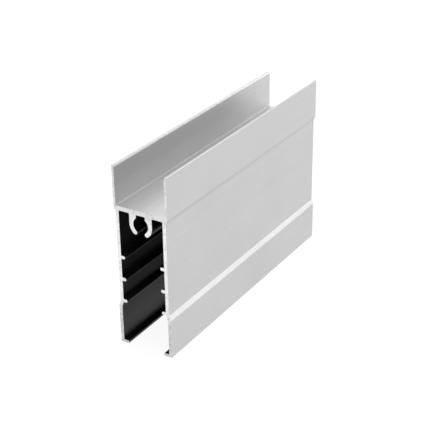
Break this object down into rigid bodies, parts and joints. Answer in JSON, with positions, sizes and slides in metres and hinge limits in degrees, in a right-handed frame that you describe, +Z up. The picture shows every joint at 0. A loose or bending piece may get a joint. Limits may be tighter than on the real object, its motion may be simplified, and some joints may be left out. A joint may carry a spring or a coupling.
{
  "type": "sliding door bottom rail profile",
  "caption": "Aluminium H-section extrusion for the lower edge of a sliding wardrobe door: panel channel above, open screw port under the web, ribbed roller channel below.",
  "frame": {"origin": "on the plane the feet stand on, under the middle of the sample's length and width", "axes": "+X across the section, +Y along the extrusion, +Z up towards the panel channel"},
  "size_m": [0.018, 0.0874, 0.057],
  "materials": {
    "anodised_aluminium": "satin silver anodised with fine die lines along the extrusion, black in the roller channel, bare sawn ends"
  },
  "bodies": {
    "root": {"bottom_rail_profile": "anodised_aluminium"}
  },
  "joints": []
}
